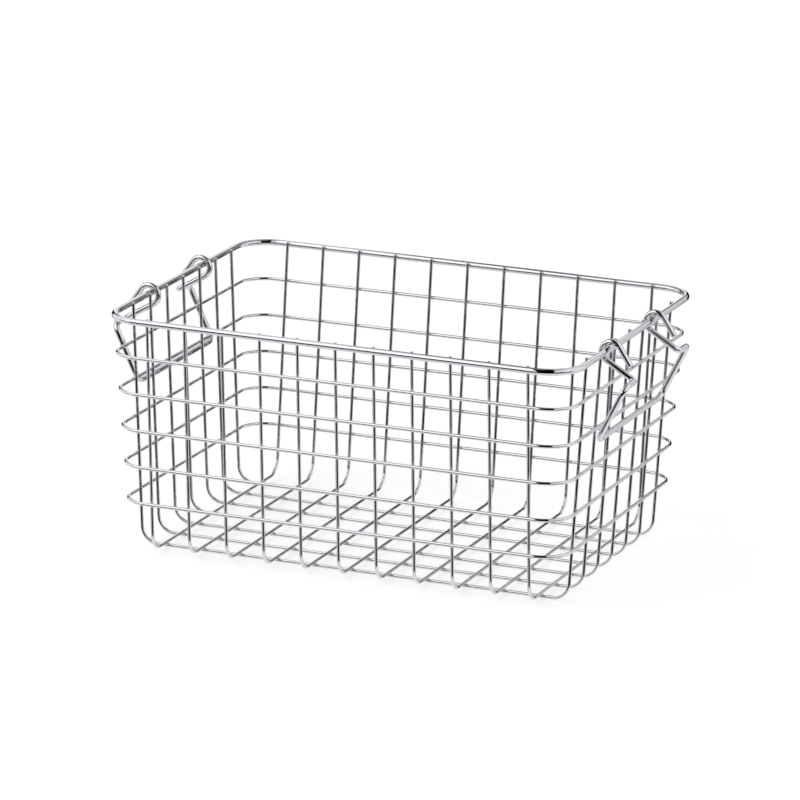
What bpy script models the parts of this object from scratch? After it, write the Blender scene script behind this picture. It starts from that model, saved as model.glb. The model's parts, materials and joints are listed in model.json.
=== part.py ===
"""Metal mesh basket: a welded wire basket with a thick rim and two swinging bail handles.

Metres, +Z up. The origin is the middle of the floor, on the surface that the basket stands on.
+X runs along the long side and +Y towards the back.
"""
import math

import bpy
from mathutils import Vector

# Overall size of the basket, measured over the rim wire
rim_length = 0.370
rim_depth = 0.275
basket_height = 0.1845

# Wire diameters
rim_wire = 0.0050
hoop_wire = 0.0027
upright_wire = 0.0025
handle_wire = 0.0046

# Clearance between two wires that touch
wire_gap = 0.0003

# Corners of the rim and of the hoops, along the middle of the wire
rim_corner_radius = 0.027
hoop_corner_radius = 0.022

# How far the walls draw in from the rim to the floor
end_wall_draw_in = 0.0092
front_wall_draw_in = 0.0147

# Hoops below the rim
hoop_count = 5
hoop_spacing = 0.0283

# Wires that run up one wall, down the other and across the floor
cross_wire_count = 11
cross_wire_spacing = 0.0298
cross_wire_bend_radius = 0.0136
long_wire_count = 7
long_wire_spacing = 0.0300
long_wire_bend_radius = 0.0126
upright_tip_below_rim_top = 0.0003

# Bail handles, measured from the middle of the rim wire that they hang on
right_handle_slide = 0.0058
left_handle_slide = 0.0026
eye_spacing = 0.0946
eye_play = 0.0024
eye_hang_angle = math.radians(55)
tail_reach = 0.0165
tail_drop = 0.0111
shoulder_reach = 0.0201
shoulder_drop = 0.0218
shoulder_corner_radius = 0.0036
leg_corner_radius = 0.0058
grip_length = 0.1350
grip_drop = 0.0636
grip_corner_radius = 0.0070

# Facets of the solids
rim_sides = 12
handle_sides = 10
thin_wire_sides = 8
rim_corner_steps = 9
hoop_corner_steps = 7
upright_bend_steps = 6
eye_steps = 14
handle_corner_steps = 5

# Places that follow from the sizes above
rim_z = basket_height - rim_wire / 2
rim_half_length = (rim_length - rim_wire) / 2
rim_half_depth = (rim_depth - rim_wire) / 2
upright_inset = rim_wire / 2 + wire_gap + upright_wire / 2
hoop_inset = upright_inset - upright_wire / 2 - wire_gap - hoop_wire / 2
long_wire_z = upright_wire / 2 * math.cos(math.pi / thin_wire_sides)
cross_wire_z = long_wire_z + upright_wire + wire_gap
end_wall_slope = end_wall_draw_in / (rim_z - long_wire_z)
front_wall_slope = front_wall_draw_in / (rim_z - long_wire_z)
upright_tip_z = basket_height - upright_tip_below_rim_top
eye_radius = rim_wire / 2 + wire_gap + handle_wire / 2 + eye_play
eye_reach = eye_play * math.cos(eye_hang_angle)
eye_drop = eye_play * math.sin(eye_hang_angle)


def clear_scene():
    """Removes every object that the file opened with."""
    for item in list(bpy.data.objects):
        bpy.data.objects.remove(item, do_unlink=True)


def steel(name, shade, roughness):
    """Returns a polished stainless steel material."""
    material = bpy.data.materials.new(name)
    material.use_nodes = True
    shader = material.node_tree.nodes["Principled BSDF"]
    shader.inputs["Base Color"].default_value = (shade, shade, shade, 1)
    shader.inputs["Metallic"].default_value = 1
    shader.inputs["Roughness"].default_value = roughness
    material.diffuse_color = (shade, shade, shade, 1)
    return material


def wire(name, points, diameter, sides, material, closed=False, tilt=0.0):
    """Makes a round wire of a given diameter along a row of points."""
    curve = bpy.data.curves.new(name, "CURVE")
    curve.dimensions = "3D"
    curve.bevel_depth = diameter / 2
    curve.bevel_resolution = (sides - 4) // 2
    curve.use_fill_caps = not closed
    curve.materials.append(material)
    spline = curve.splines.new("POLY")
    spline.points.add(len(points) - 1)
    for spline_point, place in zip(spline.points, points):
        spline_point.co = (*place, 1)
        spline_point.tilt = tilt
    spline.use_cyclic_u = closed
    item = bpy.data.objects.new(name, curve)
    bpy.context.scene.collection.objects.link(item)
    return item


def rounded_rectangle(half_length, half_depth, corner_radius, height, steps):
    """Returns the points of a level rounded rectangle, anticlockwise from the right-hand end."""
    centres = [
        (half_length - corner_radius, half_depth - corner_radius),
        (corner_radius - half_length, half_depth - corner_radius),
        (corner_radius - half_length, corner_radius - half_depth),
        (half_length - corner_radius, corner_radius - half_depth),
    ]
    points = []
    for quarter, (middle_x, middle_y) in enumerate(centres):
        for step in range(steps + 1):
            angle = (quarter + step / steps) * math.pi / 2
            x = middle_x + corner_radius * math.cos(angle)
            y = middle_y + corner_radius * math.sin(angle)
            points.append((x, y, height))
    return points


def upright_profile(half_span, slope, floor_z, bend_radius):
    """Returns the (across, height) points of a wire down one wall, across the floor and up the other.

    half_span is the wire's distance from the middle at the rim's height, and slope is how far it leans in
    for each unit of height below the rim.
    """
    lean = math.atan(slope)
    bend_z = floor_z + bend_radius
    leg_across = half_span - slope * (rim_z - bend_z)
    bend_across = leg_across - bend_radius / math.cos(lean)
    right = [(half_span + slope * (upright_tip_z - rim_z), upright_tip_z)]
    for step in range(upright_bend_steps + 1):
        angle = -lean - (math.pi / 2 - lean) * step / upright_bend_steps
        right.append((bend_across + bend_radius * math.cos(angle), bend_z + bend_radius * math.sin(angle)))
    left = [(-across, height) for across, height in reversed(right)]
    return right + left


def rounded_corner(before, corner, after, radius, steps):
    """Returns points along an arc of a given radius that rounds off the corner of two straight runs."""
    arriving = (before - corner).normalized()
    leaving = (after - corner).normalized()
    half_angle = arriving.angle(leaving) / 2
    centre = corner + (arriving + leaving).normalized() * radius / math.sin(half_angle)
    tangent_length = radius / math.tan(half_angle)
    start = corner + arriving * tangent_length - centre
    end = corner + leaving * tangent_length - centre
    sweep = start.angle(end)
    points = []
    for step in range(steps + 1):
        turned = sweep * step / steps
        share = math.sin(sweep - turned) / math.sin(sweep)
        points.append(centre + start * share + end * math.sin(turned) / math.sin(sweep))
    return points


def eye_angle(outside, side):
    """Returns where a straight run from a point outside the eye touches the eye's circle, as an angle."""
    reach = outside.x - eye_reach
    rise = outside.z + eye_drop
    return math.atan2(rise, reach) + side * math.acos(eye_radius / math.hypot(reach, rise))


def handle_half():
    """Returns one half of a handle, from the cut end of its eye to the middle of the grip.

    x is the distance out from the rim wire, y the distance along the rim from the handle's middle and
    z the height above the rim wire's middle. The eye closes inside the basket.
    """
    eye_y = eye_spacing / 2
    tail = Vector((tail_reach, eye_y, -tail_drop))
    knee = Vector((shoulder_reach, eye_y, -shoulder_drop))
    shoulder = Vector((shoulder_reach, grip_length / 2, -shoulder_drop))
    grip_corner = Vector((0, grip_length / 2, -grip_drop))
    grip_middle = Vector((0, 0, -grip_drop))
    first = eye_angle(tail, 1)
    last = eye_angle(knee, -1) + 2 * math.pi
    eye = []
    for step in range(eye_steps + 1):
        angle = first + (last - first) * step / eye_steps
        eye.append(Vector((eye_reach + eye_radius * math.cos(angle), eye_y,
                           eye_radius * math.sin(angle) - eye_drop)))
    points = [tail] + eye
    points += rounded_corner(eye[-1], knee, shoulder, shoulder_corner_radius, handle_corner_steps)
    points += rounded_corner(knee, shoulder, grip_corner, leg_corner_radius, handle_corner_steps)
    points += rounded_corner(shoulder, grip_corner, grip_middle, grip_corner_radius, handle_corner_steps)
    return points


def handle(name, side, slide, material):
    """Makes a handle that hangs on the rim's right-hand end (side 1) or left-hand end (side -1).

    slide is how far it has slid along the rim from the middle of that end, towards the front.
    """
    half = handle_half()
    other = [Vector((place.x, -place.y, place.z)) for place in reversed(half)]
    item = wire(name, half + other, handle_wire, handle_sides, material)
    item.location = (side * rim_half_length, -slide, rim_z)
    if side < 0:
        item.rotation_euler = (0, 0, math.pi)
    return item


def build_rim():
    """The thick top wire, bent into a ring and butt-welded."""
    points = rounded_rectangle(rim_half_length, rim_half_depth, rim_corner_radius, rim_z, rim_corner_steps)
    wire("rim", points, rim_wire, rim_sides, steel("rim_steel", 0.68, 0.16), closed=True)


def build_hoops():
    """The level wires that go round the basket outside the uprights, each smaller than the one above."""
    material = steel("hoop_steel", 0.66, 0.18)
    for number in range(1, hoop_count + 1):
        below_rim = number * hoop_spacing
        half_length = rim_half_length - hoop_inset - end_wall_slope * below_rim
        half_depth = rim_half_depth - hoop_inset - front_wall_slope * below_rim
        points = rounded_rectangle(half_length, half_depth, hoop_corner_radius, rim_z - below_rim,
                                   hoop_corner_steps)
        wire(f"hoop_{number}", points, hoop_wire, thin_wire_sides, material, closed=True)


def build_cross_wires():
    """The wires from the front wall across the floor to the back wall."""
    material = steel("cross_wire_steel", 0.60, 0.20)
    profile = upright_profile(rim_half_depth - upright_inset, front_wall_slope, cross_wire_z,
                              cross_wire_bend_radius)
    for number in range(1, cross_wire_count + 1):
        x = (number - (cross_wire_count + 1) / 2) * cross_wire_spacing
        points = [(x, across, height) for across, height in profile]
        wire(f"cross_wire_{number:02d}", points, upright_wire, thin_wire_sides, material,
             tilt=math.pi / thin_wire_sides)


def build_long_wires():
    """The wires from the left wall along the floor to the right wall, which the basket stands on."""
    material = steel("long_wire_steel", 0.60, 0.20)
    profile = upright_profile(rim_half_length - upright_inset, end_wall_slope, long_wire_z,
                              long_wire_bend_radius)
    for number in range(1, long_wire_count + 1):
        y = (number - (long_wire_count + 1) / 2) * long_wire_spacing
        points = [(across, y, height) for across, height in profile]
        wire(f"long_wire_{number}", points, upright_wire, thin_wire_sides, material,
             tilt=math.pi / thin_wire_sides)


def build_handles():
    """The two bail handles, each one wire whose ends are bent into eyes round the rim."""
    material = steel("handle_steel", 0.64, 0.18)
    handle("left_handle", -1, left_handle_slide, material)
    handle("right_handle", 1, right_handle_slide, material)


clear_scene()
build_rim()
build_hoops()
build_cross_wires()
build_long_wires()
build_handles()
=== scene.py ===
"""Metal mesh basket: a welded basket of polished stainless steel wire with two swinging bail handles.

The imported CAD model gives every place. A wire there is a faceted solid, and the piece that stands for it here
is the same wire as a smooth round surface, with eased bends and rounded cut ends. Beads of weld metal join
the wires where they cross. Lengths are in metres. +X is along the long side, +Y towards the back and +Z up.
"""

import json
import logging
import math
from dataclasses import dataclass
from enum import Enum
from itertools import accumulate
from typing import Iterable, Iterator

import bpy
import numpy as np
from mathutils import Matrix

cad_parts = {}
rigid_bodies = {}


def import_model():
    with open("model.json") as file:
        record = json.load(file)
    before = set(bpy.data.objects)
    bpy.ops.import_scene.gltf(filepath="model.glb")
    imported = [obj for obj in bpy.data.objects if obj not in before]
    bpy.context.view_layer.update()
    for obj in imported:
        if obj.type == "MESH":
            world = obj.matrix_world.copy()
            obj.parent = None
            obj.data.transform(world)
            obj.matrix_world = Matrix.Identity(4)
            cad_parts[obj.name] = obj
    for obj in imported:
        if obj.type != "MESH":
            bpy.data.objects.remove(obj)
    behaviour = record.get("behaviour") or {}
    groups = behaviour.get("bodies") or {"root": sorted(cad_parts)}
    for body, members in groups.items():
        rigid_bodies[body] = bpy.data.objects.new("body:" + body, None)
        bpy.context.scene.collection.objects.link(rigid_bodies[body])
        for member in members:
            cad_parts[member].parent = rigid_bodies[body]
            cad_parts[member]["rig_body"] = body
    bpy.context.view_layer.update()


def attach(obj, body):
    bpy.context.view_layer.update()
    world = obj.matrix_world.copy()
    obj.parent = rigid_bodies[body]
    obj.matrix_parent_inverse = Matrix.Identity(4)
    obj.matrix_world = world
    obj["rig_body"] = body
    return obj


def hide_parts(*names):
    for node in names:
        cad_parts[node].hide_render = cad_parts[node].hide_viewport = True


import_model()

LOG = logging.getLogger("mesh_basket")
Array = np.ndarray
Number = int | float
Triple = tuple[float, float, float]
Range = tuple[float, float]

MILLIMETRE = 0.001
FULL_TURN = 2 * math.pi
AXES = np.eye(3)
UP = AXES[2]
WHITE = (1.0, 1.0, 1.0, 1.0)

# How finely the wires are made
PATH_SPACING = 0.25 * MILLIMETRE
RING_SPACING = 1.25 * MILLIMETRE
RING_TURN = math.radians(5)
ARC_STEP = math.radians(1)
END_RINGS = 5

# How far a bend's bell-shaped weight reaches, in easings, and a cut end's rounding, in its own radius
EASING_REACH = 3
END_REACH = 1.4

# How many spots a wire's vertices are compared with at a time
SPOT_BLOCK = 12

# Names of the attributes that the materials read
STRAIGHT_WIRE = "straight_wire"
# Share of weld tint, painted shade where the wires cross, and wear where a handle rubs
TINT_WEAR_AND_SHADE = "tint_wear_and_shade"

# Sockets of a Mix node that mixes colours
MIX_SHARE, MIX_FIRST, MIX_SECOND, MIX_RESULT = 0, 6, 7, 2


# Shader maths


@dataclass(frozen=True)
class Signal:
    """An output socket, on which Python's operators add Math nodes."""

    graph: "Graph"
    socket: bpy.types.NodeSocket

    def __add__(self, other: "Signal | Number") -> "Signal":
        """Sum of two signals."""
        return self.graph.math("ADD", self, other)

    def __sub__(self, other: "Signal | Number") -> "Signal":
        """This signal less another."""
        return self.graph.math("SUBTRACT", self, other)

    def __rsub__(self, other: Number) -> "Signal":
        """A number less this signal."""
        return self.graph.math("SUBTRACT", other, self)

    def __mul__(self, other: "Signal | Number") -> "Signal":
        """Product of two signals."""
        return self.graph.math("MULTIPLY", self, other)

    def __abs__(self) -> "Signal":
        """Size of the signal, without its sign."""
        return self.graph.math("ABSOLUTE", self)

    __radd__ = __add__
    __rmul__ = __mul__

    def rise(self, low: float, high: float) -> "Signal":
        """Goes smoothly from 0 where the signal is low to 1 where it is high.

        Args:
            low: Value at which the result is 0.
            high: Value at which the result is 1, below low for a fall.

        Returns:
            The share between 0 and 1.
        """
        if high < low:
            return 1 - self.rise(high, low)
        return self.graph.add("ShaderNodeMapRange", {"interpolation_type": "SMOOTHSTEP"},
                              {"Value": self, "From Min": low, "From Max": high})


class Graph:
    """A node tree that is filled from Python expressions."""

    def __init__(self, tree: bpy.types.NodeTree) -> None:
        """Empties the node tree of a material or of the world."""
        self.tree = tree
        tree.nodes.clear()

    @classmethod
    def of_material(cls, name: str) -> tuple[bpy.types.Material, "Graph"]:
        """Makes a material.

        Args:
            name: Its name.

        Returns:
            The material and its empty graph.
        """
        material = bpy.data.materials.new(name)
        material.use_nodes = True
        return material, cls(material.node_tree)

    def add(self, kind: str, settings: dict | None = None, sockets: dict | None = None,
            output: str | int = 0) -> Signal:
        """Adds one node.

        Args:
            kind: Type of the node.
            settings: Its properties, set before the sockets.
            sockets: Value or Signal for each input, by name or number.
            output: Name or number of the output that is returned.

        Returns:
            The chosen output.
        """
        node = self.tree.nodes.new(kind)
        for name, value in (settings or {}).items():
            setattr(node, name, value)
        for name, value in (sockets or {}).items():
            if isinstance(value, Signal):
                self.tree.links.new(value.socket, node.inputs[name])
            else:
                node.inputs[name].default_value = value
        return Signal(self, node.outputs[output] if node.outputs else None)

    def math(self, operation: str, *operands: Signal | Number) -> Signal:
        """Adds a Math node for an operation on one or two operands."""
        return self.add("ShaderNodeMath", {"operation": operation}, dict(enumerate(operands)))

    def vector(self, operation: str, *operands: Signal | Triple) -> Signal:
        """Adds a Vector Math node for an operation on vectors."""
        return self.add("ShaderNodeVectorMath", {"operation": operation}, dict(enumerate(operands)))

    def attribute(self, name: str, output: str) -> Signal:
        """Reads an attribute of the mesh: its Vector or its Fac output."""
        return self.add("ShaderNodeAttribute", {"attribute_name": name}, output=output)

    def place(self) -> Signal:
        """Reads the place on the piece, in metres."""
        return self.add("ShaderNodeTexCoord", output="Object")

    def noise(self, place: Signal, per_metre: Triple, detail: float) -> Signal:
        """Adds cloudy noise around one half.

        Args:
            place: Coordinates in metres.
            per_metre: How many clouds there are in a metre along each coordinate.
            detail: How many finer octaves are added.

        Returns:
            The noise, from 0 to 1.
        """
        scaled = self.vector("MULTIPLY", place, per_metre)
        return self.add("ShaderNodeTexNoise", None, {"Vector": scaled, "Scale": 1.0, "Detail": detail})

    def blend_colours(self, share: Signal, first: Triple, second: Triple) -> Signal:
        """Goes from the first colour to the second one by a share."""
        sockets = {MIX_SHARE: share, MIX_FIRST: (*first, 1.0), MIX_SECOND: (*second, 1.0)}
        return self.add("ShaderNodeMix", {"data_type": "RGBA"}, sockets, MIX_RESULT)

    def bump(self, height: Signal, distance: float, below: Signal | None = None) -> Signal:
        """Tilts the surface as a relief on it would.

        Args:
            height: Height of the relief.
            distance: What the height is multiplied by, in metres.
            below: Another relief that it lies on.

        Returns:
            The tilted normal.
        """
        sockets = {"Height": height, "Distance": distance, "Strength": 1.0}
        if below is not None:
            sockets["Normal"] = below
        return self.add("ShaderNodeBump", None, sockets)

    def glow(self, kind: str, colour: Signal | tuple, strength: float) -> Signal:
        """Adds an Emission or a Background node."""
        return self.add(kind, None, {"Color": colour, "Strength": strength})

    def seen_by_camera(self) -> Signal:
        """Tells rays from the camera, 1, from mirrored and scattered ones, 0."""
        return self.add("ShaderNodeLightPath", output="Is Camera Ray")

    def end_in_metal(self, colour: Signal, roughness: Signal, normal: Signal) -> None:
        """Ends a material in bare metal of a colour and roughness, with a bumped normal."""
        metal = self.add("ShaderNodeBsdfPrincipled", None, {"Base Color": colour, "Metallic": 1.0,
                                                            "Roughness": roughness, "Normal": normal})
        self.add("ShaderNodeOutputMaterial", None, {"Surface": metal})

    def end_in_mix(self, output: str, share: Signal, first: Signal, second: Signal) -> None:
        """Ends a tree in an output node for two shaders, mixed by the share of the second one."""
        mix = self.add("ShaderNodeMixShader", None, {0: share, 1: first, 2: second})
        self.add(output, None, {"Surface": mix})


# Finishes


@dataclass(frozen=True)
class SteelFinish:
    """Drawn stainless steel wire, polished bright after the basket was welded.

    The die leaves fine lines along the wire. Straightening leaves slow waves in it, which make reflections
    swim. Beside a weld the metal is darker and a little straw-coloured: partly heat tint, and partly painted
    shade where the wires cross. Where a handle rubs it is duller from wear. It carries faint smears and specks.
    A dullness or a haze is what each of these adds at its fullest.
    """

    name: str
    bright: Triple = (0.780, 0.785, 0.795)
    dull: Triple = (0.600, 0.585, 0.560)
    roughness: float = 0.035
    line_width: float = 0.22 * MILLIMETRE
    line_stretch: float = 70.0
    line_depth: float = 0.0012 * MILLIMETRE
    line_rise: Range = (0.35, 0.75)
    line_dullness: float = 0.10
    line_haze: float = 0.03
    wave_length: float = 11 * MILLIMETRE
    wave_depth: float = 0.03 * MILLIMETRE
    smears_per_metre: float = 38.0
    smear_rise: Range = (0.50, 0.72)
    smear_dullness: float = 0.06
    smear_haze: float = 0.03
    specks_per_metre: Triple = (2600.0, 2600.0, 1900.0)
    speck_rise: Range = (0.66, 0.78)
    speck_dullness: float = 0.10
    speck_depth: float = 0.6
    # Darkening beside welds, partly painted shade where the wires cross
    tint_wear_and_shade_dullness: float = 0.55
    tint_wear_and_shade_haze: float = 0.14

    def material(self) -> bpy.types.Material:
        """Makes the material.

        Returns:
            A metal whose colour, roughness and bump vary along and around the wire.
        """
        made, graph = Graph.of_material(self.name)
        along = graph.attribute(STRAIGHT_WIRE, "Vector")
        tint_wear_and_shade = graph.attribute(TINT_WEAR_AND_SHADE, "Fac")
        across = 1 / self.line_width
        lines = graph.noise(along, (across, across, across / self.line_stretch), detail=2.0)
        waves = graph.noise(along, (1 / self.wave_length,) * 3, detail=1.0)
        smears = graph.noise(graph.place(), (self.smears_per_metre,) * 3, detail=3.0).rise(*self.smear_rise)
        specks = graph.noise(along, self.specks_per_metre, detail=1.0).rise(*self.speck_rise)
        # The share beside welds and rubbed spots darkens the wire: painted shade where the wires cross, with
        # weld tint, and wear where a handle rubs
        dullness = (tint_wear_and_shade * self.tint_wear_and_shade_dullness + lines.rise(*self.line_rise) * self.line_dullness
                    + smears * self.smear_dullness + specks * self.speck_dullness)
        colour = graph.blend_colours(dullness, self.bright, self.dull)
        haze = tint_wear_and_shade * self.tint_wear_and_shade_haze + lines * self.line_haze + smears * self.smear_haze
        slow = graph.bump(waves, self.wave_depth)
        fine = graph.bump(lines - specks * self.speck_depth, self.line_depth, slow)
        graph.end_in_metal(colour, haze + self.roughness, fine)
        return made


@dataclass(frozen=True)
class WeldAndShadeFinish:
    """Metal squeezed out of a weld and polished with the basket: rippled, and darker than the wire, partly as
    duller weld metal and partly as painted shade where the wires cross.
    """

    name: str
    # Darker than the wire: partly duller weld metal, partly painted shade where the wires cross
    bright: Triple = (0.700, 0.700, 0.700)
    dull: Triple = (0.430, 0.410, 0.385)
    roughness: float = 0.20
    grain: float = 0.45 * MILLIMETRE
    ripple_rise: Range = (0.35, 0.70)
    ripple_depth: float = 0.02 * MILLIMETRE
    ripple_haze: float = 0.14

    def material(self) -> bpy.types.Material:
        """Makes the material of the beads.

        Returns:
            A metal that varies from grain to grain.
        """
        made, graph = Graph.of_material(self.name)
        ripples = graph.noise(graph.place(), (1 / self.grain,) * 3, detail=2.0)
        colour = graph.blend_colours(ripples.rise(*self.ripple_rise), self.bright, self.dull)
        bump = graph.bump(ripples, self.ripple_depth)
        graph.end_in_metal(colour, ripples * self.ripple_haze + self.roughness, bump)
        return made


# Lines and surfaces


def unit(vectors: Array) -> Array:
    """Scales each vector to length one."""
    return vectors / np.linalg.norm(vectors, axis=-1, keepdims=True)


def corner_arc(before: Array, corner: Array, after: Array, radius: float) -> Array:
    """Rounds off the corner of two straight runs.

    The arc's middle lies on the corner's bisector, at the radius divided by the sine of half its angle. A
    point of the arc is that middle plus a mix of the first and the last radius: the first weighted by the
    sine of the angle still to go, the last by the sine of the angle gone, both over the whole angle's sine.

    Args:
        before: A point on the arriving run.
        corner: Where the two runs would meet.
        after: A point on the leaving run.
        radius: Radius of the arc.

    Returns:
        Points along the arc.
    """
    arriving, leaving = unit(before - corner), unit(after - corner)
    half_angle = math.acos(float(arriving @ leaving)) / 2
    middle = corner + unit(arriving + leaving) * radius / math.sin(half_angle)
    first = corner + arriving * radius / math.tan(half_angle) - middle
    last = corner + leaving * radius / math.tan(half_angle) - middle
    whole = math.pi - 2 * half_angle
    gone = np.linspace(0.0, whole, math.ceil(whole / ARC_STEP) + 1)[:, None]
    return middle + (np.sin(whole - gone) * first + np.sin(gone) * last) / math.sin(whole)


@dataclass(frozen=True)
class WirePath:
    """The middle line of a wire, as close and evenly spaced points."""

    points: Array
    closed: bool

    @classmethod
    def along(cls, corners: Array, closed: bool, easing: float) -> "WirePath":
        """Makes a path from rough points.

        The rough line is measured out evenly. Each coordinate is then averaged along it with a bell-shaped
        weight, so that a bend starts and ends gradually, as in bent wire. An open line is first carried on
        past its ends, turned about the end point, so that the ends stay where they are.

        Args:
            corners: Rough points in order.
            closed: Whether the last point joins the first one.
            easing: Half width of the bell-shaped weight.

        Returns:
            The finished path.
        """
        line, lengths = cls(corners, closed).measured()
        even = np.linspace(0.0, lengths[-1], round(lengths[-1] / PATH_SPACING) + 1)
        even = even[:-1] if closed else even
        points = np.stack([np.interp(even, lengths, column) for column in line.T], 1)
        reach = math.ceil(EASING_REACH * easing / PATH_SPACING)
        weights = np.exp(-0.5 * (np.arange(-reach, reach + 1) * PATH_SPACING / easing) ** 2)
        if closed:
            padded = np.vstack([points[-reach:], points, points[:reach]])
        else:
            lead = 2 * points[0] - points[reach:0:-1]
            trail = 2 * points[-1] - points[-2:-reach - 2:-1]
            padded = np.vstack([lead, points, trail])
        kernel = weights / weights.sum()
        return cls(np.stack([np.convolve(column, kernel, "valid") for column in padded.T], 1), closed)

    def measured(self) -> tuple[Array, Array]:
        """Measures the path.

        Returns:
            The points with the closing one, and the length of the path up to each.
        """
        line = np.vstack([self.points, self.points[:1]]) if self.closed else self.points
        steps = np.linalg.norm(np.diff(line, axis=0), axis=1)
        return line, np.concatenate([[0.0], np.cumsum(steps)])

    def rings(self) -> Array:
        """Chooses where the wire's rings stand: evenly along straight runs and closer together in bends.

        Returns:
            The length along the path at each ring.
        """
        line, lengths = self.measured()
        directions = unit(np.diff(line, axis=0))
        bends = np.arccos(np.clip((directions[1:] * directions[:-1]).sum(1), -1.0, 1.0))
        turned = np.concatenate([[0.0, 0.0], np.cumsum(bends)])
        measure = lengths / RING_SPACING + turned / RING_TURN
        stations = np.interp(np.linspace(0.0, measure[-1], math.ceil(measure[-1]) + 1), measure, lengths)
        return stations[:-1] if self.closed else stations

    def at(self, stations: Array) -> tuple[Array, Array]:
        """Reads the path at given lengths along it.

        Args:
            stations: The lengths.

        Returns:
            The points and the unit directions of the path there.
        """
        line, lengths = self.measured()
        around = np.vstack([line[-2:-1], line, line[1:2]]) if self.closed else line
        slopes = np.gradient(around, axis=0)
        slopes = slopes[1:-1] if self.closed else slopes
        places = np.stack([np.interp(stations, lengths, column) for column in line.T], 1)
        return places, unit(np.stack([np.interp(stations, lengths, column) for column in slopes.T], 1))


def across_directions(directions: Array, first: Array) -> Array:
    """Carries a direction across the wire along it with the least turning.

    From one ring to the next, it is turned by the rotation that takes the one direction of the wire to the
    other: the identity plus the cross-product matrix of the two plus its square over one plus their cosine.

    Args:
        directions: Direction of the wire at each ring.
        first: Direction across the wire at the first ring.

    Returns:
        The direction across the wire at each ring.
    """
    before, after = directions[:-1], directions[1:]
    x, y, z = np.cross(before, after).T
    zero = np.zeros(len(x))
    crossing = np.stack([zero, -z, y, z, zero, -x, -y, x, zero], 1).reshape(-1, 3, 3)
    cosines = (before * after).sum(1)[:, None, None]
    rotations = np.eye(3) + crossing + crossing @ crossing / (1 + cosines)
    return np.array(list(accumulate(rotations, lambda across, rotation: rotation @ across, initial=first)))


def shell_faces(count: int, sides: int, closed: bool) -> tuple[Array, Array]:
    """Joins rings of vertices, numbered ring after ring, by four-sided faces.

    An open shell ends in two fans of triangles. Their middles are the two vertices that follow the last ring.

    Args:
        count: How many rings there are.
        sides: How many vertices a ring has.
        closed: Whether the last ring joins the first one.

    Returns:
        The vertices of each four-sided face and of each triangle.
    """
    ring, side = np.arange(count if closed else count - 1)[:, None], np.arange(sides)
    here, there, after = ring * sides, (ring + 1) % count * sides, (side + 1) % sides
    quads = np.stack([here + side, here + after, there + after, there + side], 2).reshape(-1, 4)
    if closed:
        return quads, np.zeros((0, 3), int)
    head = count * sides
    last = head - sides
    return quads, np.vstack([np.stack([np.full(sides, head), after, side], 1),
                             np.stack([np.full(sides, head + 1), last + side, last + after], 1)])


def into_scene(name: str, data: bpy.types.ID) -> bpy.types.Object:
    """Makes an object of a mesh, lamp or camera and links it to the scene.

    Args:
        name: Name of the object.
        data: What it shows.

    Returns:
        The object, at the origin.
    """
    made = bpy.data.objects.new(name, data)
    bpy.context.scene.collection.objects.link(made)
    return made


@dataclass
class Surface:
    """Vertices, faces and attributes of a mesh, as arrays."""

    vertices: Array
    quads: Array
    triangles: Array
    straight: Array
    tint_wear_and_shade: Array

    def to_piece(self, name: str, material: bpy.types.Material, body: "Body", slot: str,
                 *nodes: str) -> bpy.types.Object:
        """Puts the arrays into a mesh object that sits at the origin, and attaches it to its CAD body.

        Args:
            name: Name of the object and of its mesh.
            material: Material of the whole piece.
            body: CAD body that it moves with.
            slot: Material slot of the record that its finish belongs to; not used.
            nodes: CAD nodes that it stands for.

        Returns:
            The finished piece.
        """
        mesh = bpy.data.meshes.new(name)
        corners = np.concatenate([self.quads.ravel(), self.triangles.ravel()]).astype(np.int32)
        sizes = np.concatenate([np.full(len(self.quads), 4), np.full(len(self.triangles), 3)])
        starts = np.concatenate([[0], np.cumsum(sizes)[:-1]]).astype(np.int32)
        mesh.vertices.add(len(self.vertices))
        mesh.loops.add(len(corners))
        mesh.polygons.add(len(sizes))
        mesh.vertices.foreach_set("co", self.vertices.astype(np.float32).ravel())
        mesh.loops.foreach_set("vertex_index", corners)
        mesh.polygons.foreach_set("loop_start", starts)
        mesh.polygons.foreach_set("use_smooth", np.ones(len(sizes), bool))
        mesh.update(calc_edges=True)
        straight = mesh.attributes.new(STRAIGHT_WIRE, "FLOAT_VECTOR", "POINT")
        straight.data.foreach_set("vector", self.straight.astype(np.float32).ravel())
        tint_wear_and_shade = mesh.attributes.new(TINT_WEAR_AND_SHADE, "FLOAT", "POINT")
        tint_wear_and_shade.data.foreach_set("value", self.tint_wear_and_shade.astype(np.float32))
        mesh.materials.append(material)
        piece = into_scene(name, mesh)
        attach(piece, body.value)
        if nodes:
            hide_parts(*nodes)
        return piece


def nearness(places: Array, spots: Array, reach: float) -> Array:
    """Tells how near each place is to the nearest spot: the bell curve of their distance over the reach.

    Args:
        places: The places.
        spots: The spots.
        reach: Distance over which the nearness falls off.

    Returns:
        The nearness of each place, from 0 to 1.
    """
    nearest = np.full(len(places), np.inf)
    for block in np.array_split(spots, math.ceil(len(spots) / SPOT_BLOCK)):
        apart = np.linalg.norm(places[:, None] - block[None], axis=2)
        nearest = np.minimum(nearest, apart.min(1))
    return np.exp(-(nearest / reach) ** 2)


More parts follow.
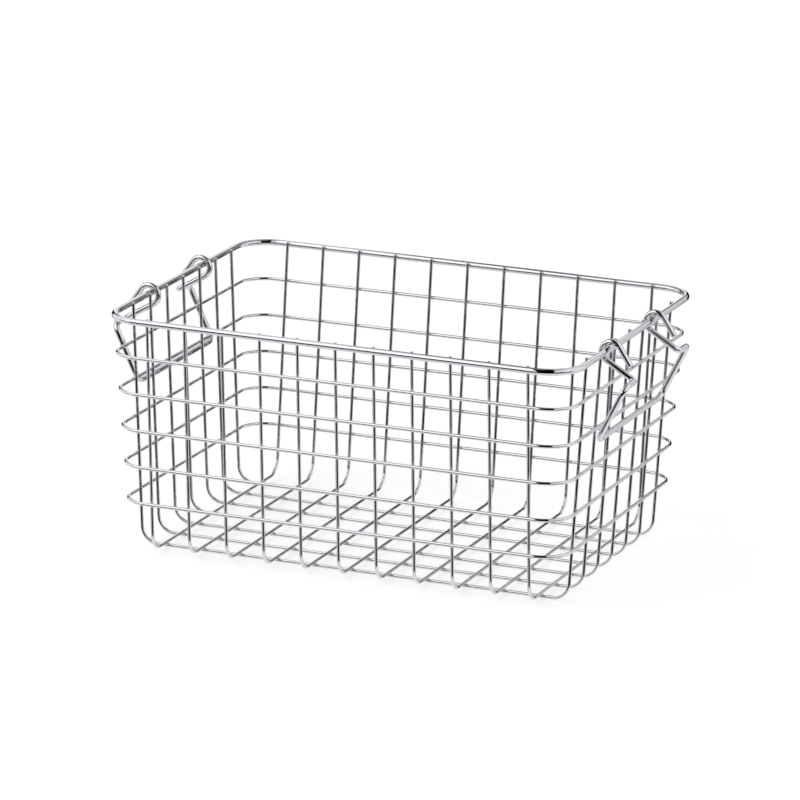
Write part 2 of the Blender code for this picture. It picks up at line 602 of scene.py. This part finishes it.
@dataclass(frozen=True)
class RoundWire:
    """A wire of round section along a path."""

    path: WirePath
    diameter: float
    sides: int
    tint_wear_and_shade_spots: Array
    end_rounding: float = 0.0
    butt_weld_swell: float = 0.0
    butt_weld_width: float = 1.1 * MILLIMETRE
    tint_wear_and_shade_reach: float = 2.4 * MILLIMETRE

    def rings(self) -> tuple[Array, Array]:
        """Gives the length along the path and the radius of each ring.

        A ring-shaped wire swells slightly at its butt weld by a bell curve of the distance to it. An open
        wire has its cut edges rounded by quarter circles.

        Returns:
            The lengths and the radii.
        """
        stations, radius = self.path.rings(), self.diameter / 2
        whole = self.path.measured()[1][-1]
        if self.path.closed:
            to_weld = np.minimum(stations, whole - stations)
            swell = self.butt_weld_swell * np.exp(-(to_weld / self.butt_weld_width) ** 2)
            return stations, radius * (1 + swell)
        edge, clear = self.end_rounding, END_REACH * self.end_rounding
        swing = np.linspace(0.0, math.pi / 2, END_RINGS)
        into, below = edge * (1 - np.cos(swing)), edge * (1 - np.sin(swing))
        inner = stations[(stations > clear) & (stations < whole - clear)]
        lengths = np.concatenate([into, inner, whole - into[::-1]])
        radii = np.concatenate([radius - below, np.full(len(inner), radius), radius - below[::-1]])
        return lengths, radii

    def surface(self, first_across: Array) -> Surface:
        """Works out the wire's surface.

        A point of it is the path's point plus the radius times the cosine of the angle round the wire in one
        direction across it and the sine in the other. An open wire is closed by a fan of faces at each end.

        Args:
            first_across: Direction across the wire at its first ring.

        Returns:
            The surface.
        """
        stations, radii = self.rings()
        places, directions = self.path.at(stations)
        across = across_directions(directions, first_across)
        upright = np.cross(directions, across)
        angles = np.arange(self.sides) * FULL_TURN / self.sides
        cosines, sines = np.cos(angles)[None, :, None], np.sin(angles)[None, :, None]
        swung = cosines * across[:, None] + sines * upright[:, None]
        vertices = (places[:, None] + radii[:, None, None] * swung).reshape(-1, 3)
        section = (radii[:, None] * cosines[..., 0], radii[:, None] * sines[..., 0])
        straight = np.stack(np.broadcast_arrays(*section, stations[:, None]), 2).reshape(-1, 3)
        quads, triangles = shell_faces(len(stations), self.sides, self.path.closed)
        if not self.path.closed:
            vertices = np.vstack([vertices, places[[0, -1]]])
            straight = np.vstack([straight, [(0.0, 0.0, stations[0]), (0.0, 0.0, stations[-1])]])
        # Nearness to welds and rubbed spots: weld tint and painted shade where the wires cross, and wear where
        # a handle rubs
        tint_wear_and_shade = nearness(vertices, self.tint_wear_and_shade_spots, self.tint_wear_and_shade_reach)
        return Surface(vertices, quads, triangles, straight, tint_wear_and_shade)


@dataclass(frozen=True)
class Beads:
    """Beads of weld metal between crossing wires.

    A bead is a flattened ball. A point of it is the bead's middle, plus the cosine of the latitude times the
    cosine and the sine of the longitude along the two wires, plus the sine of the latitude along the line
    from wire to wire, each times the half size in that direction.
    """

    middles: Array
    first_axes: Array
    second_axes: Array
    half_sizes: Triple
    seed: int
    around: int = 12
    bands: int = 6
    variation: float = 0.07

    def surface(self) -> Surface:
        """Works out all beads as one surface, each a little different in size.

        Returns:
            The surface.
        """
        latitude = np.linspace(-math.pi / 2, math.pi / 2, self.bands + 1)[1:-1, None]
        longitude = np.arange(self.around)[None] * FULL_TURN / self.around
        ball = np.stack(np.broadcast_arrays(np.cos(latitude) * np.cos(longitude),
                                            np.cos(latitude) * np.sin(longitude), np.sin(latitude)), 2)
        ball = np.vstack([ball.reshape(-1, 3), [-UP, UP]])
        spread = np.random.default_rng(self.seed).uniform(-self.variation, self.variation, self.middles.shape)
        sizes = np.array(self.half_sizes) * (1 + spread)
        first = unit(self.first_axes)
        third = unit(np.cross(first, self.second_axes))
        axes = np.stack([first, np.cross(third, first), third], 1) * sizes[:, :, None]
        vertices = (self.middles[:, None] + np.einsum("vi,bij->bvj", ball, axes)).reshape(-1, 3)
        quads, triangles = shell_faces(self.bands - 1, self.around, False)
        offsets = np.arange(len(self.middles))[:, None, None] * len(ball)
        return Surface(vertices, (quads[None] + offsets).reshape(-1, 4),
                       (triangles[None] + offsets).reshape(-1, 3), vertices, np.ones(len(vertices)))


# The basket


@dataclass(frozen=True)
class BasketSizes:
    """Sizes and places that the wires share, measured along their middles unless a name says otherwise."""

    rim_half_length: float = 0.1825
    rim_half_depth: float = 0.1350
    rim_height: float = 0.1820
    rim_corner: float = 0.0270
    rim_wire: float = 0.0050
    hoop_wire: float = 0.0027
    thin_wire: float = 0.0025
    handle_wire: float = 0.0046
    gap: float = 0.0003
    hoop_count: int = 5
    hoop_spacing: float = 0.0283
    hoop_corner: float = 0.0220
    cross_count: int = 11
    cross_spacing: float = 0.0298
    cross_bend: float = 0.0136
    long_count: int = 7
    long_spacing: float = 0.0300
    long_bend: float = 0.0126
    end_draw_in: float = 0.0092
    front_draw_in: float = 0.0147
    tip_height: float = 0.1842
    long_height: float = 0.001155

    @property
    def cross_height(self) -> float:
        """Height of the front-to-back wires on the floor."""
        return self.long_height + self.thin_wire + self.gap

    @property
    def end_slope(self) -> float:
        """How far an end wall leans in for each unit of height."""
        return self.end_draw_in / (self.rim_height - self.long_height)

    @property
    def front_slope(self) -> float:
        """How far the front and back walls lean in for each unit of height."""
        return self.front_draw_in / (self.rim_height - self.long_height)

    @property
    def upright_inset(self) -> float:
        """How far inside the rim the uprights stand."""
        return self.rim_wire / 2 + self.gap + self.thin_wire / 2

    @property
    def weld_offset(self) -> float:
        """How far outside an upright's middle its welds lie."""
        return (self.thin_wire + self.gap) / 2

    @property
    def hoop_inset(self) -> float:
        """How far inside the rim the hoops would stand at its height."""
        return self.upright_inset - self.thin_wire / 2 - self.gap - self.hoop_wire / 2

    def cross_places(self) -> Array:
        """Gives the places of the front-to-back wires along the basket."""
        return (np.arange(self.cross_count) - (self.cross_count - 1) / 2) * self.cross_spacing

    def long_places(self) -> Array:
        """Gives the places of the end-to-end wires across the basket."""
        return (np.arange(self.long_count) - (self.long_count - 1) / 2) * self.long_spacing

    def wall_welds(self, height: float) -> tuple[Array, Array, Array]:
        """Finds the welds between the uprights and a ring of wire.

        Args:
            height: Height of the ring.

        Returns:
            The middles of the welds, the direction of the ring there, and the direction of the upright there.
        """
        below = self.rim_height - height
        deep = self.rim_half_depth - self.upright_inset - self.front_slope * below + self.weld_offset
        wide = self.rim_half_length - self.upright_inset - self.end_slope * below + self.weld_offset
        welds = []
        for side in (-1.0, 1.0):
            welds += [((x, side * deep, height), (side, 0.0, 0.0), (0.0, side * self.front_slope, 1.0))
                      for x in self.cross_places()]
            welds += [((side * wide, y, height), (0.0, side, 0.0), (side * self.end_slope, 0.0, 1.0))
                      for y in self.long_places()]
        middles, ring, upright = np.array(welds).transpose(1, 0, 2)
        return middles, ring, upright

    def floor_welds(self) -> Array:
        """Finds the welds where the wires cross on the floor.

        Returns:
            Their middles.
        """
        x, y = np.meshgrid(self.cross_places(), self.long_places())
        height = self.long_height + self.weld_offset
        return np.stack([x.ravel(), y.ravel(), np.full(x.size, height)], 1)


class Body(Enum):
    """Names of the CAD bodies that pieces ride on. A handle's node has its body's name."""

    BASKET = "basket"
    LEFT_HANDLE = "left_handle"
    RIGHT_HANDLE = "right_handle"


def ring_path(half_length: float, half_depth: float, corner: float, height: float, start: float,
              easing: float) -> WirePath:
    """Makes the path of a level rounded rectangle.

    Args:
        half_length: Half of its length.
        half_depth: Half of its depth.
        corner: Radius of its corners.
        height: Height at which it lies.
        start: Where along the back side it starts, which is where its butt weld is.
        easing: How gradually its bends begin.

    Returns:
        The closed path, anticlockwise from above.
    """
    first = np.array([(start, half_depth, height)])
    turns = ((-1, 1), (-1, -1), (1, -1), (1, 1))
    corners = [np.array((x * half_length, y * half_depth, height)) for x, y in turns]
    around = [corners[-1], *corners, corners[0]]
    arcs = [corner_arc(*around[number:number + 3], corner) for number in range(len(turns))]
    return WirePath.along(np.vstack([first, *arcs]), True, easing)


@dataclass
class Rim:
    """The thick top wire and the welds that hold the uprights in it."""

    sizes: BasketSizes
    handle_spots: Array
    sides: int = 36
    easing: float = 1.6 * MILLIMETRE
    butt_weld_place: float = 0.0447
    butt_weld_swell: float = 0.02
    bead_sizes: Triple = (0.00120, 0.00150, 0.00070)
    bead_seed: int = 11

    def build(self) -> Iterator[bpy.types.Object]:
        """Builds the rim.

        Yields:
            The wire, and then its beads.
        """
        sizes = self.sizes
        middles, ring, upright = sizes.wall_welds(sizes.rim_height)
        path = ring_path(sizes.rim_half_length, sizes.rim_half_depth, sizes.rim_corner, sizes.rim_height,
                         self.butt_weld_place, self.easing)
        wire = RoundWire(path, sizes.rim_wire, self.sides, np.vstack([middles, self.handle_spots]),
                         butt_weld_swell=self.butt_weld_swell)
        steel = SteelFinish("rim_wire_steel", roughness=0.03, wave_length=16 * MILLIMETRE).material()
        yield wire.surface(UP).to_piece("rim_wire", steel, Body.BASKET, "rim_steel", "rim")
        beads = Beads(middles, ring, upright, self.bead_sizes, self.bead_seed).surface()
        weld = WeldAndShadeFinish("rim_weld_steel_and_shade").material()
        yield beads.to_piece("rim_welds", weld, Body.BASKET, "rim_steel")


@dataclass
class Hoops:
    """The level rings outside the uprights, with their welds."""

    sizes: BasketSizes
    sides: int = 22
    easing: float = 1.2 * MILLIMETRE
    butt_weld_place: float = -0.0447
    butt_weld_swell: float = 0.03
    bead_sizes: Triple = (0.00112, 0.00112, 0.00062)
    bead_seed: int = 20

    def build(self) -> Iterator[bpy.types.Object]:
        """Builds the hoops from the top down.

        Yields:
            Each hoop's wire, and then its beads.
        """
        sizes = self.sizes
        steel = SteelFinish("hoop_wire_steel").material()
        weld = WeldAndShadeFinish("hoop_weld_steel_and_shade").material()
        for number in range(1, sizes.hoop_count + 1):
            below = number * sizes.hoop_spacing
            height = sizes.rim_height - below
            middles, ring, upright = sizes.wall_welds(height)
            path = ring_path(sizes.rim_half_length - sizes.hoop_inset - sizes.end_slope * below,
                             sizes.rim_half_depth - sizes.hoop_inset - sizes.front_slope * below,
                             sizes.hoop_corner, height, self.butt_weld_place, self.easing)
            wire = RoundWire(path, sizes.hoop_wire, self.sides, middles, butt_weld_swell=self.butt_weld_swell)
            yield wire.surface(UP).to_piece(f"hoop_wire_{number}", steel, Body.BASKET, "hoop_steel",
                                            f"hoop_{number}")
            beads = Beads(middles, ring, upright, self.bead_sizes, self.bead_seed + number).surface()
            yield beads.to_piece(f"hoop_{number}_welds", weld, Body.BASKET, "hoop_steel")


@dataclass(frozen=True)
class WireFamily:
    """The thin wires of one direction, which stand side by side along an axis: 0 is X and 1 is Y.

    Half span is a wire's distance from the middle at the rim's height, slope is how far it leans in for each
    unit of height, floor is the height of its run on the floor, and bend is the radius of its bends.
    """

    piece: str
    node: str
    slot: str
    axis: int
    places: Array
    half_span: float
    slope: float
    floor: float
    bend: float


@dataclass
class UprightWires:
    """The thin wires of the walls and the floor in both directions, and the welds of the floor."""

    sizes: BasketSizes
    sides: int = 20
    easing: float = 1.0 * MILLIMETRE
    tip_rounding: float = 0.45 * MILLIMETRE
    bead_sizes: Triple = (0.00108, 0.00108, 0.00060)
    bead_seed: int = 31

    def profile(self, family: WireFamily) -> Array:
        """Makes the profile of a wire down one wall, across the floor and up the other wall.

        Args:
            family: Family that the wire belongs to.

        Returns:
            The path's points as distance from the middle and height.
        """
        rim, tip, floor = self.sizes.rim_height, self.sizes.tip_height, family.floor
        foot = family.half_span - family.slope * (rim - floor)
        top = np.array((family.half_span + family.slope * (tip - rim), 0.0, tip))
        corner, middle = np.array((foot, 0.0, floor)), np.array((0.0, 0.0, floor))
        half = np.vstack([top, corner_arc(top, corner, middle, family.bend)])
        mirrored = half[::-1] * (-1, 1, 1)
        return WirePath.along(np.vstack([half, mirrored]), False, self.easing).points[:, [0, 2]]

    def welds_on(self, axis: int, place: float) -> Array:
        """Finds the welds on one wire.

        Args:
            axis: Axis along which its family stands.
            place: Its place along that axis.

        Returns:
            The middles of its welds.
        """
        sizes = self.sizes
        heights = [sizes.rim_height - number * sizes.hoop_spacing for number in range(sizes.hoop_count + 1)]
        welds = np.vstack([sizes.wall_welds(height)[0] for height in heights] + [sizes.floor_welds()])
        return welds[np.abs(welds[:, axis] - place) < sizes.thin_wire / 2]

    def build(self) -> Iterator[bpy.types.Object]:
        """Builds the front-to-back wires, the end-to-end wires and the floor's beads.

        Yields:
            Each wire, and then all the beads.
        """
        sizes = self.sizes
        front_to_back = WireFamily("front_to_back_wire_{:02d}", "cross_wire_{:02d}", "cross_wire_steel", 0,
                                   sizes.cross_places(), sizes.rim_half_depth - sizes.upright_inset,
                                   sizes.front_slope, sizes.cross_height, sizes.cross_bend)
        end_to_end = WireFamily("end_to_end_wire_{}", "long_wire_{}", "long_wire_steel", 1,
                                sizes.long_places(), sizes.rim_half_length - sizes.upright_inset,
                                sizes.end_slope, sizes.long_height, sizes.long_bend)
        for family in (front_to_back, end_to_end):
            profile = self.profile(family)
            steel = SteelFinish(family.slot, roughness=0.04).material()
            for number, place in enumerate(family.places, 1):
                path = WirePath(np.insert(profile, family.axis, place, axis=1), False)
                wire = RoundWire(path, sizes.thin_wire, self.sides, self.welds_on(family.axis, place),
                                 self.tip_rounding).surface(AXES[family.axis])
                yield wire.to_piece(family.piece.format(number), steel, Body.BASKET, family.slot,
                                    family.node.format(number))
        middles = sizes.floor_welds()
        along_x, along_y = (np.tile(AXES[axis], (len(middles), 1)) for axis in (0, 1))
        beads = Beads(middles, along_x, along_y, self.bead_sizes, self.bead_seed).surface()
        weld = WeldAndShadeFinish("floor_weld_steel_and_shade").material()
        yield beads.to_piece("floor_welds", weld, Body.BASKET, "cross_wire_steel")


class End(Enum):
    """The end of the basket that a handle hangs on."""

    LEFT = -1
    RIGHT = 1


@dataclass
class BailHandle:
    """One bail handle: a single wire whose two ends are bent into eyes round the rim.

    Its own coordinates are the distance out from the rim, the distance along it, and the height above it. It
    has slid along the rim towards the front.
    """

    sizes: BasketSizes
    end: End
    body: Body
    slide: float
    eye_spacing: float = 0.0946
    eye_play: float = 0.0024
    eye_hang_angle: float = math.radians(55)
    tail_reach: float = 0.0165
    tail_drop: float = 0.0111
    shoulder_reach: float = 0.0201
    shoulder_drop: float = 0.0218
    shoulder_corner: float = 0.0036
    leg_corner: float = 0.0058
    grip_length: float = 0.1350
    grip_drop: float = 0.0636
    grip_corner: float = 0.0070
    sides: int = 32
    easing: float = 0.6 * MILLIMETRE
    cut_rounding: float = 0.8 * MILLIMETRE
    rubbed_reach: float = 3.2 * MILLIMETRE

    def eye(self, tail: Array, knee: Array) -> Array:
        """Works out the eye as a circle that the wire runs into and out of along its tangents.

        Args:
            tail: Cut end of the wire.
            knee: Corner that the wire runs to from the eye.

        Returns:
            Points round the eye, from the tail's side over the rim and back below it.
        """
        radius = (self.sizes.rim_wire + self.sizes.handle_wire) / 2 + self.sizes.gap + self.eye_play
        hang = self.eye_hang_angle
        middle = self.eye_play * np.array((math.cos(hang), 0.0, -math.sin(hang)))

        def touch(outside: Array, side: int) -> float:
            """Angle at which a straight run from a point outside touches the circle."""
            reach, rise = outside[0] - middle[0], outside[2] - middle[2]
            return math.atan2(rise, reach) + side * math.acos(radius / math.hypot(reach, rise))

        first, last = touch(tail, 1), touch(knee, -1) + FULL_TURN
        angles = np.linspace(first, last, math.ceil((last - first) / ARC_STEP) + 1)
        circle = np.stack([np.cos(angles), np.zeros(len(angles)), np.sin(angles)], 1)
        return middle + radius * circle + (0.0, self.eye_spacing / 2, 0.0)

    def own_points(self) -> Array:
        """Works out the handle's rough line in its own coordinates.

        Returns:
            Its points from one cut end to the other.
        """
        eye_y, grip_y = self.eye_spacing / 2, self.grip_length / 2
        tail = np.array((self.tail_reach, eye_y, -self.tail_drop))
        knee = np.array((self.shoulder_reach, eye_y, -self.shoulder_drop))
        shoulder = np.array((self.shoulder_reach, grip_y, -self.shoulder_drop))
        grip_end = np.array((0.0, grip_y, -self.grip_drop))
        grip_middle = np.array((0.0, 0.0, -self.grip_drop))
        eye = self.eye(tail, knee)
        half = np.vstack([tail, eye, corner_arc(eye[-1], knee, shoulder, self.shoulder_corner),
                          corner_arc(knee, shoulder, grip_end, self.leg_corner),
                          corner_arc(shoulder, grip_end, grip_middle, self.grip_corner)])
        return np.vstack([half, half[::-1] * (1, -1, 1)])

    def placed(self, own: Array) -> Array:
        """Takes points from the handle's own coordinates to the basket's, turned half round on the left."""
        side = self.end.value
        return own * (side, side, 1) + (side * self.sizes.rim_half_length, -self.slide, self.sizes.rim_height)

    def rubbed_spots(self) -> Array:
        """Finds where the two eyes rest on the rim.

        Returns:
            The two spots.
        """
        hang, half = self.eye_hang_angle, self.eye_spacing / 2
        away = self.sizes.rim_wire / 2 * np.array((-math.cos(hang), 0, math.sin(hang)))
        return self.placed(np.array([away + (0.0, y, 0.0) for y in (-half, half)]))

    def build(self) -> Iterator[bpy.types.Object]:
        """Builds the handle.

        Yields:
            Its wire.
        """
        path = WirePath.along(self.placed(self.own_points()), False, self.easing)
        wire = RoundWire(path, self.sizes.handle_wire, self.sides, self.rubbed_spots(), self.cut_rounding,
                         tint_wear_and_shade_reach=self.rubbed_reach)
        node = self.body.value
        finish = SteelFinish(f"{node}_steel", roughness=0.03, wave_length=13 * MILLIMETRE, tint_wear_and_shade_haze=0.12)
        yield wire.surface(AXES[1]).to_piece(f"{self.end.name.lower()}_bail", finish.material(), self.body,
                                             "handle_steel", node)


# The studio


def studio_board(name: str, corners: list, material: bpy.types.Material,
                 *unseen_by: str) -> bpy.types.Object:
    """Makes a flat four-cornered board.

    Args:
        name: Name of the board.
        corners: Its corners in order.
        material: Its material, which isn't used as a lamp.
        unseen_by: Kinds of ray that pass it.

    Returns:
        The board, linked to the scene.
    """
    mesh = bpy.data.meshes.new(name)
    mesh.from_pydata(corners, [], [(0, 1, 2, 3)])
    mesh.materials.append(material)
    material.cycles.emission_sampling = "NONE"
    board = into_scene(name, mesh)
    for kind in unseen_by:
        setattr(board, f"visible_{kind}", False)
    return board


@dataclass(frozen=True)
class Panel:
    """A dark or bright soft panel on the studio's far walls.

    Its place is a direction from the basket in degrees: azimuth 0 is the front and 90 the right-hand end.
    """

    azimuth: float
    elevation: float
    half_width: float
    half_height: float
    softness: float
    brightness: float


@dataclass(frozen=True)
class Card:
    """A card with soft edges, so near that each wire mirrors it in another direction.

    Its foot lies square to the line from the basket's middle in the direction of its azimuth, at a distance
    along that line and at a height. The card reaches a half width to either side of that line and a length up
    from its foot, and its upper end may lean back over the basket. Angles are in degrees.
    """

    name: str
    azimuth: float
    distance: float
    half_width: float
    foot_height: float
    length: float
    softness: float
    brightness: float
    lean: float = 0.0

    def build(self) -> None:
        """Makes the card, which only the polished steel sees.

        How solid the card is at a point is the product of two smooth falls, one over the distance to the side
        and one over the distance up or down from its middle, both beyond its half sizes.
        """
        aim, lean = math.radians(self.azimuth), math.radians(self.lean)
        outwards = np.array((math.sin(aim), -math.cos(aim), 0.0))
        sideways = np.array((math.cos(aim), math.sin(aim), 0.0))
        upwards = UP * math.cos(lean) - outwards * math.sin(lean)
        halves = (self.half_width, self.length / 2)
        middle = outwards * self.distance + UP * self.foot_height + upwards * halves[1]
        corners = np.array([(-1, -1), (1, -1), (1, 1), (-1, 1)]) * (np.array(halves) + self.softness)
        places = middle + corners[:, :1] * sideways + corners[:, 1:] * upwards
        material, graph = Graph.of_material(f"{self.name}_board")
        away = graph.vector("SUBTRACT", graph.place(), tuple(middle))
        solid = 1.0
        for direction, half in zip((sideways, upwards), halves):
            distance = abs(graph.add("ShaderNodeVectorMath", {"operation": "DOT_PRODUCT"},
                                     {0: away, 1: tuple(direction)}, output="Value"))
            solid = distance.rise(half + self.softness, half) * solid
        graph.end_in_mix("ShaderNodeOutputMaterial", solid, graph.add("ShaderNodeBsdfTransparent"),
                         graph.glow("ShaderNodeEmission", WHITE, self.brightness))
        card = studio_board(self.name, places.tolist(), material,
                            "camera", "diffuse", "transmission", "volume_scatter", "shadow")


@dataclass
class Studio:
    """Plain floor, soft light, and the panels and cards that the polished wire mirrors."""

    walls: float = 0.78
    panels: tuple[Panel, ...] = (
        Panel(0.0, 90.0, 180.0, 23.6, 14.0, 0.36),
        Panel(-58.2, 40.4, 38.6, 21.4, 15.3, 1.32),
        Panel(87.7, 32.1, 41.2, 20.2, 15.5, 0.95),
        Panel(-165.2, 24.6, 81.8, 29.2, 22.0, 0.93),
        Panel(-160.5, 56.0, 14.0, 14.0, 14.0, 0.40),
        Panel(162.7, 19.3, 3.0, 59.6, 25.0, 0.70),
        Panel(-46.0, -13.0, 29.0, 8.9, 8.8, 0.38),
        Panel(74.0, -13.8, 17.0, 8.9, 8.6, 0.08),
        Panel(12.0, -12.8, 50.0, 18.0, 9.0, 0.0),
        Panel(0.0, -62.0, 180.0, 24.5, 12.0, 0.88),
        Panel(-28.8, -34.3, 17.5, 7.8, 12.0, 0.50),
    )
    cards: tuple[Card, ...] = (
        Card("front_flag", 24.0, 1.000, 0.205, -0.134, 2.600, 0.045, 0.0, lean=35.4),
        Card("back_left_flag", -126.0, 1.105, 0.170, -0.300, 1.150, 0.038, 0.0),
        Card("back_flag", 159.7, 0.864, 0.125, -0.023, 0.360, 0.035, 0.0, lean=35.2),
        Card("middle_back_flag", 174.6, 0.804, 0.080, -0.300, 0.810, 0.030, 0.0),
        Card("upper_back_flag", 192.5, 0.414, 0.050, 0.139, 2.665, 0.080, 0.20, lean=39.5),
    )
    tint: Triple = (0.985, 0.994, 1.014)
    tint_of_black: Triple = (0.002, 0.004, 0.010)
    floor_half_size: float = 40.0
    floor_seen_share: float = 0.4
    floor_seen_strength: float = 1.31
    paper_colours: tuple[Triple, Triple] = ((0.93, 0.93, 0.93), (0.95, 0.95, 0.95))
    paper_fibres_per_metre: float = 900.0
    lamp_azimuth: float = math.radians(-55)
    lamp_elevation: float = math.radians(48)
    lamp_angle: float = math.radians(35)
    lamp_energy: float = 0.45

    def build_world(self) -> None:
        """Lights the scene from all round: walls and panels, and plain white for the camera.

        How fully a panel covers a direction is the product of two smooth falls, one over the azimuth and one
        over the elevation, both beyond its half sizes. Each panel lies over those before it.
        """
        world = bpy.data.worlds.new("studio_world")
        world.use_nodes = True
        bpy.context.scene.world = world
        graph = Graph(world.node_tree)
        direction = graph.add("ShaderNodeTexCoord", output="Generated")
        x, y, z = (graph.add("ShaderNodeSeparateXYZ", None, {0: direction}, axis) for axis in "XYZ")
        elevation = graph.math("ARCSINE", z) * math.degrees(1)
        light = self.walls
        for panel in self.panels:
            aim = math.radians(panel.azimuth)
            beside = x * math.cos(aim) + y * math.sin(aim)
            towards = x * math.sin(aim) - y * math.cos(aim)
            turned = abs(graph.math("ARCTAN2", beside, towards)) * math.degrees(1)
            raised = abs(elevation - panel.elevation)
            inside = (turned.rise(panel.half_width + panel.softness, panel.half_width)
                      * raised.rise(panel.half_height + panel.softness, panel.half_height))
            light = inside * (panel.brightness - light) + light
        tinted = graph.vector("MULTIPLY_ADD", light, self.tint, self.tint_of_black)
        graph.end_in_mix("ShaderNodeOutputWorld", graph.seen_by_camera(),
                         graph.glow("ShaderNodeBackground", tinted, 1.0),
                         graph.glow("ShaderNodeBackground", WHITE, 1.0))

    def build_floor(self) -> None:
        """Lays the white paper floor, which keeps the basket's shadow.

        The steel mirrors the world's pale lower half in its place.
        """
        material, graph = Graph.of_material("studio_floor_paper")
        fibres = graph.noise(graph.place(), (self.paper_fibres_per_metre,) * 3, detail=2.0)
        colour = graph.blend_colours(fibres, *self.paper_colours)
        graph.end_in_mix("ShaderNodeOutputMaterial", graph.seen_by_camera() * self.floor_seen_share,
                         graph.add("ShaderNodeBsdfDiffuse", None, {"Color": colour}),
                         graph.glow("ShaderNodeEmission", WHITE, self.floor_seen_strength))
        half = self.floor_half_size
        corners = [(-half, -half, 0), (half, -half, 0), (half, half, 0), (-half, half, 0)]
        floor = studio_board("studio_floor", corners, material, "glossy", "shadow")

    def build_lamp(self) -> None:
        """Hangs one large soft lamp at the front left, which the steel doesn't mirror."""
        lamp = bpy.data.lights.new("soft_lamp", "SUN")
        lamp.energy = self.lamp_energy
        lamp.angle = self.lamp_angle
        hung = into_scene("soft_lamp", lamp)
        hung.rotation_euler = (math.pi / 2 - self.lamp_elevation, 0.0, self.lamp_azimuth)
        hung.visible_glossy = False

    def build(self) -> None:
        """Builds the whole studio and chooses the plain view transform."""
        bpy.context.scene.view_settings.view_transform = "Standard"
        self.build_world()
        self.build_floor()
        for card in self.cards:
            card.build()
        self.build_lamp()


@dataclass
class PhotographCamera:
    """The camera at the photograph's place: a long lens, a little above and to the right of the front."""

    azimuth: float = math.radians(21.7791)
    elevation: float = math.radians(15.3381)
    roll: float = math.radians(1.1328)
    distance: float = 4.4210051
    target: Triple = (0.0189448, -0.0500232, 0.1233537)
    focal_pixels: float = 6014.167
    image_pixels: float = 800.0
    sensor: float = 36.0
    nearest_seen: float = 0.1
    farthest_seen: float = 200.0

    def build(self) -> None:
        """Makes the camera and hands it to the scene."""
        level = math.cos(self.elevation)
        right = np.array((math.cos(self.azimuth), math.sin(self.azimuth), 0.0))
        back = np.array((right[1] * level, -right[0] * level, math.sin(self.elevation)))
        up = np.cross(back, right)
        cosine, sine = math.cos(self.roll), math.sin(self.roll)
        right, up = cosine * right + sine * up, cosine * up - sine * right
        lens = bpy.data.cameras.new("photograph_camera")
        lens.sensor_width = self.sensor
        lens.lens = self.focal_pixels / self.image_pixels * self.sensor
        lens.clip_start, lens.clip_end = self.nearest_seen, self.farthest_seen
        pose = np.eye(4)
        pose[:3, :3] = np.stack([right, up, back], 1)
        pose[:3, 3] = np.array(self.target) + back * self.distance
        camera = into_scene("photograph_camera", lens)
        camera.matrix_world = Matrix(pose.tolist())
        bpy.context.scene.camera = camera


def main() -> None:
    """Builds the camera, the studio and every piece of the basket, and reports each piece."""
    logging.basicConfig(level=logging.INFO, format="%(name)s: %(message)s")
    PhotographCamera().build()
    Studio().build()
    sizes = BasketSizes()
    left = BailHandle(sizes, End.LEFT, Body.LEFT_HANDLE, slide=0.0026)
    right = BailHandle(sizes, End.RIGHT, Body.RIGHT_HANDLE, slide=0.0058)
    rim = Rim(sizes, np.vstack([left.rubbed_spots(), right.rubbed_spots()]))
    for assembly in (rim, Hoops(sizes), UprightWires(sizes), left, right):
        for piece in assembly.build():
            LOG.info("%s: %d faces, rides on %s", piece.name, len(piece.data.polygons), piece["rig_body"])


if __name__ == "__main__":
    main()
